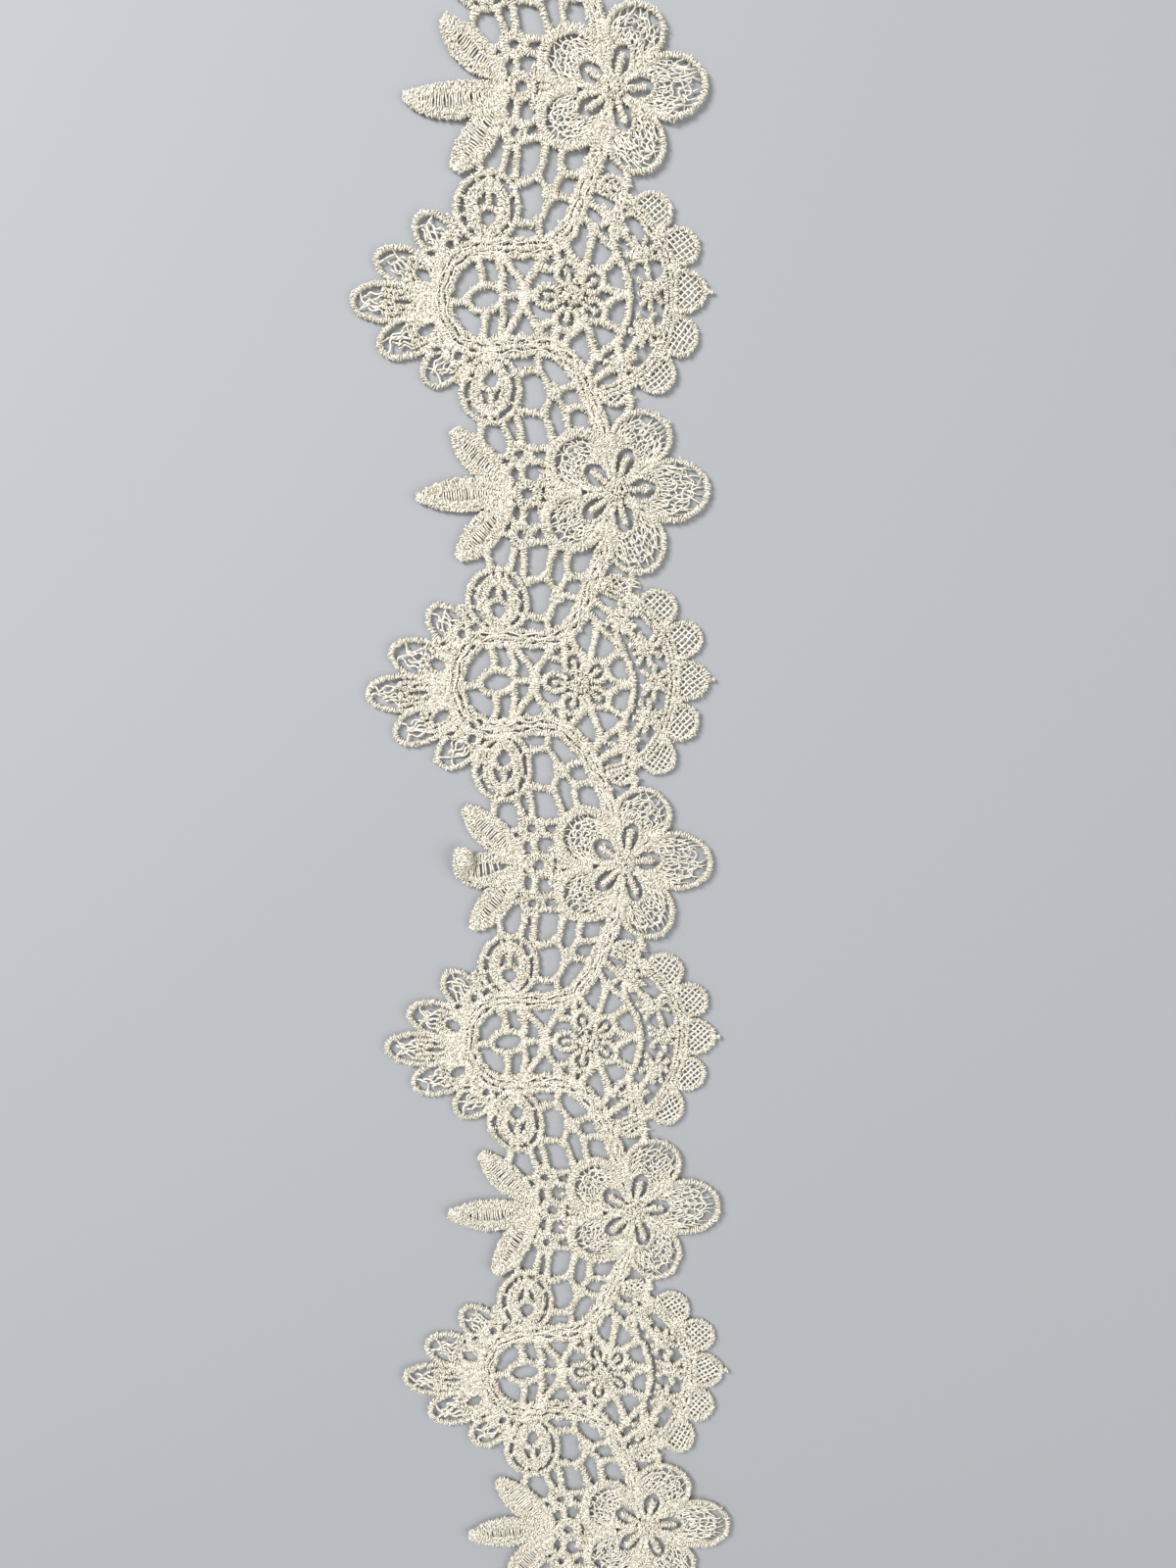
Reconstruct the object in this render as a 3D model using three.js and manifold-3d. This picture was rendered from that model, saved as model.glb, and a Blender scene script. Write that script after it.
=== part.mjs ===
// Guipure lace trim: a cut length of machine-made lace, lying flat.
// A flower with three leaves and a fan with a scalloped arch take turns along it. Satin cords outline
// them, thin thread fills them, and bars of cord between the gaps tie them together, so that the whole
// length is one piece of stitching, flat below, with raised petal rims, hearts and leaves.
// Millimetres, +Z up. X runs across the trim towards the scallops and Y along it. The chart below is
// measured from the line through the flowers' hearts, and the finished piece is centred on the origin.
import * as THREE from "three";
import { mergeVertices } from "three/addons/utils/BufferGeometryUtils.js";
import { ConvexGeometry } from "three/addons/geometries/ConvexGeometry.js";
import Module from "manifold-3d";

const wasm = await Module();
wasm.setup();

// Driving dimensions
const REPEAT = 69; // from one flower's heart to the next
const FLOWERS = 5; // a fan lies between each two of them
const BOW = 1.3; // how far the middle of the trim lies off the straight line between its ends
const GROUND = 1.1; // thickness of the fillings, bands and bars
const RAISED = 1.5; // thickness of the satin cord around a petal
const BOSS = 2.0; // height of the knots in the flowers' hearts
const CORD = 1.3; // width of a petal's cord
const BAR = 1.1; // width of a bar that stands alone

const HALF_REPEAT = REPEAT / 2;
const LOOP_SIDES = 12; // sides of a petal or a medallion
const LOBE_SIDES = 10; // sides of a fan's lobe
const KNOT_SIDES = 6; // sides of a knot
const MERGE = 0.05; // corners closer together than this become one

// Flower: reach is from its heart to a petal's middle, long and wide are the petal's half sizes
const PETALS = [
  { turn: 0, reach: 10.5, long: 6.5, wide: 6.0 },
  { turn: 66, reach: 9.9, long: 5.6, wide: 5.6 },
  { turn: 145, reach: 9.2, long: 5.3, wide: 5.3 },
];
const RIM_STEPS = 3; // sides of a petal's polygon that its cord follows, each way from the tip
const FLOWER_CORE = 7.4; // radius of the filling around the heart
const HEART = 1.8; // radius of the heart's knot
const EYELET_COUNT = 5;
const EYELET = { reach: 5.0, long: 2.6, wide: 1.9, sides: 6 }; // the gaps around the heart
const STAMEN = { from: 1.2, to: 6.0, width: 0.9 };

// Leaves by their base, tip and half width, and the three rings on the ground at their foot
const LEAVES = [
  { baseX: -18.0, baseY: 0, tipX: -36.8, tipY: 0, half: 3.5 },
  { baseX: -19.0, baseY: 2.2, tipX: -29.6, tipY: 12.0, half: 3.0 },
];
const LEAF_EDGE = 0.9; // thickness at a leaf's edge
const LEAF_CROWN = 1.9; // thickness along its rib
const LEAF_STEPS = 6;
const FOOT = [
  { x: -5.5, y: 5.0 },
  { x: -17.2, y: 9.8 },
  { x: -19.6, y: 8.4 },
  { x: -21.6, y: 4.6 },
  { x: -19.0, y: 0 },
];
const FOOT_GAPS = [
  { x: -16.0, y: 0, long: 1.1, wide: 1.0, turn: 0, sides: 5 },
  { x: -17.4, y: 7.2, long: 1.0, wide: 1.0, turn: 0, sides: 5 },
  { x: -14.9, y: 3.7, long: 1.6, wide: 1.1, turn: 10, sides: 4 },
  { x: -12.9, y: 0, long: 1.4, wide: 0.9, turn: 90, sides: 4 },
];

// The third flower's middle leaf, whose tip is folded up over itself
const FOLDED_FLOWER = 2;
const FOLDED_LEAF = [
  { x: -18.0, y: 0, z: 0, half: 0.6, thick: 0.9 },
  { x: -22.5, y: 0, z: 0, half: 2.6, thick: 1.6 },
  { x: -27.0, y: -0.3, z: 0, half: 3.4, thick: 1.8 },
  { x: -30.2, y: -0.2, z: 0, half: 2.8, thick: 1.6 },
  { x: -31.6, y: 0.8, z: 1.2, half: 2.0, thick: 1.3 },
  { x: -31.0, y: 2.7, z: 1.9, half: 1.5, thick: 1.1 },
  { x: -30.2, y: 4.6, z: 1.6, half: 0.6, thick: 0.9 },
];

// Net between flower and fan, with y from the flower's axis towards the fan
const BAND = { width: 3.2, steps: 8 };
const BAND_LINE = [
  { x: -0.8, y: 5.5 },
  { x: -2.6, y: 12.5 },
  { x: -6.3, y: 19.6 },
  { x: -13.0, y: 24.8 },
  { x: -20.8, y: 25.7 },
];
const MEDALLION = { x: -22.1, y: 18.9, wide: 5.6, long: 6.6 };
const NET_CORNERS = [
  { x: -1.0, y: 5.5 },
  ...BAND_LINE.slice(1),
  { x: -24.6, y: 14.0 },
  { x: -24.9, y: 8.4 },
  { x: -18.0, y: 5.0 },
];
const NET_GAPS = [
  { x: -14.6, y: 12.2, long: 2.6, wide: 2.5, turn: 36, sides: 5 },
  { x: -10.2, y: 13.6, long: 2.7, wide: 1.9, turn: 90, sides: 5 },
  { x: -6.3, y: 12.8, long: 1.7, wide: 1.4, turn: 60, sides: 4 },
  { x: -14.4, y: 18.4, long: 3.3, wide: 2.1, turn: 100, sides: 6 },
  { x: -7.6, y: 17.0, long: 1.8, wide: 1.2, turn: 125, sides: 4 },
  { x: -10.6, y: 21.2, long: 2.3, wide: 2.2, turn: 0, sides: 5 },
  { x: -15.6, y: 23.4, long: 2.2, wide: 1.0, turn: 10, sides: 4 },
  { x: -21.9, y: 10.7, long: 1.9, wide: 1.6, turn: 0, sides: 3 },
  { x: -22.0, y: 21.0, long: 1.7, wide: 1.5, turn: 90, sides: 6 },
];

// Fan, with y from its own axis, about the middle of the arch's hollow
const HOLLOW = { x: -20.5, outer: 10.3 };
const FAN_BASE = { outer: 14.4, spread: 60, steps: 6 }; // dense stitching, in degrees each way
const LOBES = [
  { turn: 180, reach: 20.1, long: 6.7, wide: 3.6, window: 23.2 },
  { turn: 158, reach: 17.4, long: 5.4, wide: 3.4, window: 19.2 },
  { turn: 131, reach: 14.9, long: 4.7, wide: 3.3, window: 16.3 },
];
const LOBE_WINDOW = { long: 2.2, wide: 1.9, sides: 6 };
const FAN_SLOT = { x: -33.2, y: 4.6, long: 1.9, wide: 1.0, turn: 152, sides: 4 };

// Arch: the small flower's gaps, and those of the net, the hollow and the ring of stars around it
const SMALL_FLOWER = { x: -6.3, heart: 1.7 };
const SMALL_EYELET = { reach: 4.3, long: 1.4, wide: 0.9, sides: 4 };
const SMALL_PETALS = 5;
const ALMOND_GAP = { x: -22.3, y: 0, long: 2.5, wide: 1.6, turn: 0, sides: 6 };
const ARCH_GAPS = [
  { x: -25.1, y: 3.6, long: 3.4, wide: 2.3, turn: 48, sides: 6 },
  { x: -20.6, y: 5.0, long: 2.6, wide: 1.2, turn: 95, sides: 4 },
  { x: -17.2, y: 3.5, long: 1.9, wide: 1.0, turn: -55, sides: 4 },
  { x: -15.2, y: 6.4, long: 2.9, wide: 1.2, turn: -12, sides: 4 },
  { x: -12.0, y: 3.4, long: 2.4, wide: 1.1, turn: 38, sides: 4 },
  { x: -5.2, y: 9.3, long: 2.9, wide: 1.9, turn: 110, sides: 5 },
  { x: -1.3, y: 6.9, long: 2.0, wide: 1.8, turn: 20, sides: 5 },
  { x: -2.0, y: 12.6, long: 2.2, wide: 1.5, turn: 125, sides: 4 },
  { x: 1.3, y: 2.9, long: 2.2, wide: 1.2, turn: 100, sides: 5 },
];
const STAR_GAPS = [
  { turn: 15, reach: 13.4, long: 2.6, wide: 2.3, sides: 6 },
  { turn: 44, reach: 13.8, long: 2.4, wide: 2.2, sides: 6 },
];
const SCALLOPS = [
  { turn: 0, reach: 19.0, radius: 3.6 },
  { turn: 22, reach: 18.6, radius: 3.7 },
  { turn: 46, reach: 18.5, radius: 3.6 },
  { turn: 68, reach: 17.6, radius: 2.8 },
];
const SCALLOP = { open: 80, steps: 4 }; // the round of a scallop, in degrees each way from its tip
const LINK_BAR = { x1: 2.3, y1: 21.0, x2: 2.6, y2: 17.4 }; // ties the arch to the next flower's petal

// Chart helpers: a row off the axis has a twin on the other side of it
const BOTH_SIDES = [1, -1];
const MIRRORED_KEYS = ["y", "y1", "y2", "turn", "baseY", "tipY"];
const at = (x, y) => new THREE.Vector2(x, y);
const points = (rows) => rows.map(({ x, y }) => at(x, y));

function mirrored(row) {
  const twin = { ...row };
  for (const key of MIRRORED_KEYS) if (key in row) twin[key] = -row[key];
  return twin;
}

function paired(rows) {
  const onAxis = ({ y, turn }) => (y ?? turn % 180) === 0;
  return rows.flatMap((row) => (onAxis(row) ? [row] : [row, mirrored(row)]));
}

function polar(x, y, reach, turn) {
  const angle = THREE.MathUtils.degToRad(turn);
  return at(x + reach * Math.cos(angle), y + reach * Math.sin(angle));
}

// The part of an ellipse's line that lies within that many degrees of its outer end
function ellipseArc(centre, long, wide, turn, open, steps) {
  const [angle, half] = [turn, open].map(THREE.MathUtils.degToRad);
  const curve = new THREE.EllipseCurve(centre.x, centre.y, long, wide, -half, half, false, angle);
  return curve.getPoints(steps);
}

const ellipse = (centre, long, wide, turn, sides) =>
  ellipseArc(centre, long, wide, turn, 180, sides).slice(0, sides);
const gapOutline = ({ x, y, long, wide, turn, sides }) => ellipse(at(x, y), long, wide, turn, sides);

// The outline of a cord of that width laid along a line of points, with mitred turns and square ends
function cordOutline(line, width) {
  const left = [];
  const right = [];
  line.forEach((point, i) => {
    const before = point.clone().sub(line[Math.max(i - 1, 0)]).normalize();
    const after = line[Math.min(i + 1, line.length - 1)].clone().sub(point).normalize();
    const along = before.clone().add(after).normalize();
    const mitre = Math.max(along.dot(before), along.dot(after));
    const side = at(-along.y, along.x).multiplyScalar(width / 2 / mitre);
    left.push(point.clone().add(side));
    right.unshift(point.clone().sub(side));
  });
  return [...left, ...right];
}

// Solid helpers
function solidOf(geometry) {
  geometry.deleteAttribute("normal");
  geometry.deleteAttribute("uv");
  const merged = mergeVertices(geometry);
  return new wasm.Manifold(
    new wasm.Mesh({
      numProp: 3,
      vertProperties: merged.getAttribute("position").array,
      triVerts: new Uint32Array(merged.index.array),
    }),
  );
}

function plate(outline, height = GROUND, base = 0) {
  const shape = new THREE.Shape(outline);
  const geometry = new THREE.ExtrudeGeometry(shape, { depth: height, bevelEnabled: false });
  return solidOf(geometry.translate(0, 0, base));
}

const CUT_DEPTH = 4 * BOSS;
const joined = (solids) => solids.reduce((whole, next) => whole.add(next));

function cutThrough(whole, outlines) {
  const gaps = outlines.map((outline) => plate(outline, CUT_DEPTH, -CUT_DEPTH / 2));
  return gaps.reduce((left, gap) => left.subtract(gap), whole);
}

// A leaf is a low roof over a pointed oval, highest along its rib
function leaf({ baseX, baseY, tipX, tipY, half }) {
  const base = at(baseX, baseY);
  const along = at(tipX, tipY).sub(base);
  const side = at(-along.y, along.x).normalize().multiplyScalar(half);
  const corners = [];
  for (let step = 0; step <= LEAF_STEPS; step++) {
    const share = step / LEAF_STEPS;
    const swell = Math.sin(Math.PI * share);
    const middle = base.clone().addScaledVector(along, share);
    for (const hand of BOTH_SIDES) {
      const edge = middle.clone().addScaledVector(side, hand * swell);
      corners.push(new THREE.Vector3(edge.x, edge.y, 0), new THREE.Vector3(edge.x, edge.y, LEAF_EDGE));
    }
    const rib = LEAF_EDGE + (LEAF_CROWN - LEAF_EDGE) * swell;
    corners.push(new THREE.Vector3(middle.x, middle.y, rib));
  }
  return solidOf(new ConvexGeometry(corners));
}

// The folded leaf is a chain of short convex stretches, from its base over the fold to its tip
function foldedLeaf() {
  const sections = FOLDED_LEAF.map(({ x, y, z, half, thick }, i) => {
    const before = FOLDED_LEAF[Math.max(i - 1, 0)];
    const after = FOLDED_LEAF[Math.min(i + 1, FOLDED_LEAF.length - 1)];
    const side = at(before.y - after.y, after.x - before.x).normalize().multiplyScalar(half);
    const edges = BOTH_SIDES.flatMap((hand) => [
      new THREE.Vector3(x + hand * side.x, y + hand * side.y, z),
      new THREE.Vector3(x + hand * side.x, y + hand * side.y, z + LEAF_EDGE / 2),
    ]);
    return [...edges, new THREE.Vector3(x, y, z + thick)];
  });
  const stretches = sections.slice(1).map((section, i) => new ConvexGeometry([...sections[i], ...section]));
  return joined(stretches.map(solidOf));
}

// Petals, heart and gaps of a flower, and the foot of its leaves
function flowerGround() {
  const petals = paired(PETALS).map(({ turn, reach, long, wide }) =>
    plate(ellipse(polar(0, 0, reach, turn), long, wide, turn, LOOP_SIDES)),
  );
  const core = plate(ellipse(at(0, 0), FLOWER_CORE, FLOWER_CORE, 0, LOOP_SIDES));
  const otherSide = FOOT.slice(0, -1).map(mirrored).reverse();
  const foot = plate(points([...FOOT, ...otherSide]));
  return joined([...petals, core, foot]);
}

function flowerGaps() {
  const gaps = paired(FOOT_GAPS).map(gapOutline);
  for (let i = 0; i < EYELET_COUNT; i++) {
    const turn = (360 / EYELET_COUNT) * i;
    const { reach, long, wide, sides } = EYELET;
    gaps.push(ellipse(polar(0, 0, reach, turn), long, wide, turn, sides));
  }
  return gaps;
}

// What lies over a flower's ground: stamens, rims, the heart's knot and the leaves
function flowerRelief(folded) {
  const stamens = [];
  for (let i = 0; i < EYELET_COUNT; i++) {
    const turn = (360 / EYELET_COUNT) * i;
    const line = [polar(0, 0, STAMEN.from, turn), polar(0, 0, STAMEN.to, turn)];
    stamens.push(plate(cordOutline(line, STAMEN.width)));
  }
  const open = (360 / LOOP_SIDES) * RIM_STEPS;
  const rims = paired(PETALS).map(({ turn, reach, long, wide }) => {
    const middle = polar(0, 0, reach, turn);
    const outside = ellipseArc(middle, long, wide, turn, open, 2 * RIM_STEPS);
    const inside = ellipseArc(middle, long - CORD, wide - CORD, turn, open, 2 * RIM_STEPS);
    return plate([...outside, ...inside.reverse()], RAISED);
  });
  const knot = plate(ellipse(at(0, 0), HEART, HEART, 0, KNOT_SIDES), BOSS);
  const [middleLeaf, sideLeaf] = LEAVES;
  const leaves = [folded ? foldedLeaf() : leaf(middleLeaf), leaf(sideLeaf), leaf(mirrored(sideLeaf))];
  return joined([...stamens, ...rims, knot, ...leaves]);
}

// Medallion, band and net on one side of a flower
function netGround(hand) {
  const onSide = (rows) => (hand > 0 ? rows : rows.map(mirrored));
  const bandCurve = new THREE.SplineCurve(points(onSide(BAND_LINE)));
  const band = plate(cordOutline(bandCurve.getSpacedPoints(BAND.steps), BAND.width));
  const { x, y, wide, long } = onSide([MEDALLION])[0];
  const medallion = plate(ellipse(at(x, y), wide, long, 0, LOOP_SIDES));
  return joined([plate(points(onSide(NET_CORNERS))), medallion, band]);
}

// Fan of lobes around the arch's hollow, out to the scallops
function fanGround() {
  const { x, outer } = HOLLOW;
  const lobes = paired(LOBES).map(({ turn, reach, long, wide }) =>
    plate(ellipse(polar(x, 0, reach, turn), long, wide, turn, LOBE_SIDES)),
  );
  const base = ellipseArc(at(x, 0), FAN_BASE.outer, FAN_BASE.outer, 180, FAN_BASE.spread, FAN_BASE.steps);
  const hollow = ellipse(at(x, 0), outer, outer, 0, LOOP_SIDES);
  const scallops = paired(SCALLOPS).sort((a, b) => a.turn - b.turn);
  const edge = scallops.flatMap(({ turn, reach, radius }) =>
    ellipseArc(polar(SMALL_FLOWER.x, 0, reach, turn), radius, radius, turn, SCALLOP.open, SCALLOP.steps),
  );
  const bandSide = points(BAND_LINE.slice(1).map(({ x: bandX, y }) => ({ x: bandX, y: HALF_REPEAT - y })));
  const otherSide = bandSide.map(({ x: bandX, y }) => at(bandX, -y)).reverse();
  const arch = plate([...edge, ...bandSide, ...otherSide]);
  const links = [LINK_BAR, mirrored(LINK_BAR)].map(({ x1, y1, x2, y2 }) =>
    plate(cordOutline([at(x1, y1), at(x2, y2)], BAR)),
  );
  return joined([...lobes, plate([...base, at(x, 0)]), plate(hollow), arch, ...links]);
}

function fanGaps() {
  const { long, wide, sides } = LOBE_WINDOW;
  const windows = paired(LOBES).map(({ turn, window }) =>
    ellipse(polar(HOLLOW.x, 0, window, turn), long, wide, turn, sides),
  );
  const stars = paired(STAR_GAPS).map((row) =>
    ellipse(polar(SMALL_FLOWER.x, 0, row.reach, row.turn), row.long, row.wide, row.turn, row.sides),
  );
  const eyelets = [];
  for (let i = 0; i < SMALL_PETALS; i++) {
    const turn = 180 + (360 / SMALL_PETALS) * i;
    const middle = polar(SMALL_FLOWER.x, 0, SMALL_EYELET.reach, turn);
    eyelets.push(ellipse(middle, SMALL_EYELET.long, SMALL_EYELET.wide, turn, SMALL_EYELET.sides));
  }
  const gaps = paired([FAN_SLOT, ALMOND_GAP, ...ARCH_GAPS]).map(gapOutline);
  return [...windows, ...stars, ...eyelets, ...gaps];
}

// The whole length: flowers and fans in turn, and a net on each side of every flower
function trimSolid() {
  const flower = flowerGround();
  const nets = BOTH_SIDES.map(netGround);
  const fan = fanGround();
  const { x: smallX, heart } = SMALL_FLOWER;
  const smallKnot = plate(ellipse(at(smallX, 0), heart, heart, 0, KNOT_SIDES), BOSS);
  const flowerCuts = [...flowerGaps(), ...paired(NET_GAPS).map(gapOutline)];
  const fanCuts = fanGaps();
  const shifted = (outlines, along) =>
    outlines.map((outline) => outline.map(({ x, y }) => at(x, y + along)));
  const grounds = [];
  const cuts = [];
  const reliefs = [];
  for (let i = 0; i < FLOWERS; i++) {
    const along = ((FLOWERS - 1) / 2 - i) * REPEAT;
    grounds.push(...[flower, ...nets].map((motif) => motif.translate(0, along, 0)));
    cuts.push(...shifted(flowerCuts, along));
    reliefs.push(flowerRelief(i === FOLDED_FLOWER).translate(0, along, 0));
    if (i === FLOWERS - 1) break;
    grounds.push(fan.translate(0, along - HALF_REPEAT, 0));
    cuts.push(...shifted(fanCuts, along - HALF_REPEAT));
    reliefs.push(smallKnot.translate(0, along - HALF_REPEAT, 0));
  }
  const cloth = cutThrough(joined(grounds).asOriginal().simplify(MERGE), cuts);
  return joined([cloth, ...reliefs]).asOriginal().simplify(MERGE);
}

// A three.js geometry of the solid, bowed sideways along its length and centred on the origin
function laidGeometry(solid) {
  const { vertProperties, triVerts, numProp } = solid.getMesh();
  const halfLength = ((FLOWERS - 1) / 2) * REPEAT;
  const positions = [];
  for (let i = 0; i < vertProperties.length; i += numProp) {
    const [x, y, z] = vertProperties.subarray(i, i + 3);
    positions.push(x - BOW * (1 - (y / halfLength) ** 2), y, z);
  }
  const geometry = new THREE.BufferGeometry();
  geometry.setAttribute("position", new THREE.Float32BufferAttribute(positions, 3));
  geometry.setIndex([...triVerts]);
  geometry.computeBoundingBox();
  const middle = geometry.boundingBox.getCenter(new THREE.Vector3());
  return geometry.translate(-middle.x, -middle.y, 0);
}

const thread = new THREE.MeshStandardMaterial({ color: 0xe6dcc3, roughness: 0.55, metalness: 0 });
const trim = new THREE.Mesh(laidGeometry(trimSolid()), thread);
trim.name = "lace_trim";

const group = new THREE.Group();
group.add(trim);
export default group;
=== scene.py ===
# %% [markdown]
# # A guipure lace trim, made thread by thread
# Guipure lace is embroidered by machine on a cloth that is dissolved afterwards, so that nothing but
# thread is left: satin cords around the motifs, fillings of fine thread inside them, and bars that tie one
# motif to the next. The trim could be a flat sheet with a pattern of holes, but then its cords would have
# no height and its fillings no depth. So this scene stitches it: a chart gives the line of every cord,
# padding follows that line, and separate satin stitches are laid over the padding.

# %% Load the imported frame
import math

import bmesh
import bpy
import numpy as np
from mathutils import Matrix, Vector


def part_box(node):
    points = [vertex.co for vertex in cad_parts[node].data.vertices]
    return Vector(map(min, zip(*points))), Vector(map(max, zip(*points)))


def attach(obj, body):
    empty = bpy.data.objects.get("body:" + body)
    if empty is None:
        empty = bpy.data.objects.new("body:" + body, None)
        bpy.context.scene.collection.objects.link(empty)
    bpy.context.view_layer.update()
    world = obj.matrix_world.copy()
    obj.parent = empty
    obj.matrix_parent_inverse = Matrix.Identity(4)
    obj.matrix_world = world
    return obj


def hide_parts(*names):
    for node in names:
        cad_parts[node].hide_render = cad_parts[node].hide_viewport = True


MM = 0.001
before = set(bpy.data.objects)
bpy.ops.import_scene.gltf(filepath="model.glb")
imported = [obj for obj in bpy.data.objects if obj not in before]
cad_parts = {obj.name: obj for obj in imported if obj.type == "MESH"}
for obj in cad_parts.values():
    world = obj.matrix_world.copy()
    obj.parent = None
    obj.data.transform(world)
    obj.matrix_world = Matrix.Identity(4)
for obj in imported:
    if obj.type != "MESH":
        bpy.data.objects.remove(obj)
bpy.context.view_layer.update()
trim_low, trim_high = (Vector(corner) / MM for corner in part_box("lace_trim"))
print("the trim's solid spans", [round(size, 1) for size in trim_high - trim_low], "mm")

# %% [markdown]
# ## Camera
# The trim was photographed from above, with the camera tilted by a few degrees, so its far end looks a
# little smaller. A camera looks along its own -Z axis, so its turn is a matrix of three directions: the
# picture's right, its up, and the way back from the table to the lens.

# %% Camera
IMAGE_HEIGHT = 1600
FOCAL_PIXELS = 1200
SENSOR = 36.0
CLIP_START = 0.01
VIEW_MIDDLE = Vector((8.04, 15.37, 0.0)) * MM
VIEW_DISTANCE = 221.8 * MM
VIEW_TILT = math.radians(7.24)
VIEW_ROLL = math.radians(1.6)

picture_right = Vector((math.cos(VIEW_ROLL), -math.sin(VIEW_ROLL), 0.0))
table_up = Vector((math.sin(VIEW_ROLL), math.cos(VIEW_ROLL), 0.0))
back = table_up * math.sin(VIEW_TILT) + Vector((0.0, 0.0, 1.0)) * math.cos(VIEW_TILT)
camera_data = bpy.data.cameras.new("camera")
camera_data.sensor_fit = "VERTICAL"
camera_data.sensor_height = SENSOR
camera_data.sensor_width = SENSOR
camera_data.lens = SENSOR * FOCAL_PIXELS / IMAGE_HEIGHT
camera_data.clip_start = CLIP_START
camera = bpy.data.objects.new("camera", camera_data)
turn_matrix = Matrix((picture_right, back.cross(picture_right), back)).transposed()
camera.matrix_world = Matrix.Translation(VIEW_MIDDLE + back * VIEW_DISTANCE) @ turn_matrix.to_4x4()
bpy.context.scene.collection.objects.link(camera)
bpy.context.scene.camera = camera
print("camera", [round(value / MM, 1) for value in camera.matrix_world.translation], "mm")

# %% [markdown]
# ## Thread
# The yarn is a cream rayon with a soft gloss. A shader group gives what all the yarn shares: a slow drift
# of its colour, specks of painted shade, spread at random, where a thread would dip and look tan, and the
# tiny fibres that roughen it. The stitches on top use it with a clean cream, and the padding beneath them
# with a duller, darker one that paints the shade the padding lies in.

# %% The yarn's shared drift, specks of painted shade and fibres
# the detail and the scale of each noise; the speck noise places the specks of painted shade
YARN_NOISES = {"Drift": (3.0, 260.0), "Shade Speck": (1.0, 2500.0), "Fibre": (2.0, 3200.0)}
yarn_group = bpy.data.node_groups.new("yarn_fibres_and_shade_specks", "ShaderNodeTree")
for noise_name in YARN_NOISES:
    yarn_group.interface.new_socket(noise_name + " Scale", in_out="INPUT", socket_type="NodeSocketFloat")
    yarn_group.interface.new_socket(noise_name, in_out="OUTPUT", socket_type="NodeSocketFloat")
group_in = yarn_group.nodes.new("NodeGroupInput")
group_out = yarn_group.nodes.new("NodeGroupOutput")
place = yarn_group.nodes.new("ShaderNodeTexCoord")
for noise_name, (detail, _) in YARN_NOISES.items():
    noise = yarn_group.nodes.new("ShaderNodeTexNoise")
    noise.inputs["Detail"].default_value = detail
    yarn_group.links.new(place.outputs["Object"], noise.inputs["Vector"])
    yarn_group.links.new(group_in.outputs[noise_name + " Scale"], noise.inputs["Scale"])
    yarn_group.links.new(noise.outputs["Fac"], group_out.inputs[noise_name])
print("yarn group with", len(yarn_group.nodes), "nodes")

# %% Two yarns
# where the speck noise lays specks of painted shade, which stand for the shadow where a thread dips
SHADE_SPECK_FROM, SHADE_SPECK_TO = 0.48, 0.64
SMOOTHER, ROUGHER = 0.08, 0.12
FIBRE_BUMP = 0.35
FIBRE_DEPTH = 0.08 * MM
SHEEN_ROUGHNESS = 0.4
SHEEN_TINT = (1.0, 0.96, 0.86, 1.0)
# the light colour, the dark one and the painted shade of the specks, then the roughness and the sheen
STITCH_LOOK = ((0.95, 0.92, 0.83), (0.88, 0.84, 0.73), (0.6, 0.53, 0.39), 0.4, 0.2)
# the padding's colours are a duller, darker copy of the stitch cream: painted shade for the padding beneath
# the stitches
SHADED_PADDING_LOOK = ((0.74, 0.68, 0.53), (0.64, 0.57, 0.42), (0.5, 0.43, 0.28), 0.6, 0.1)


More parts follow.
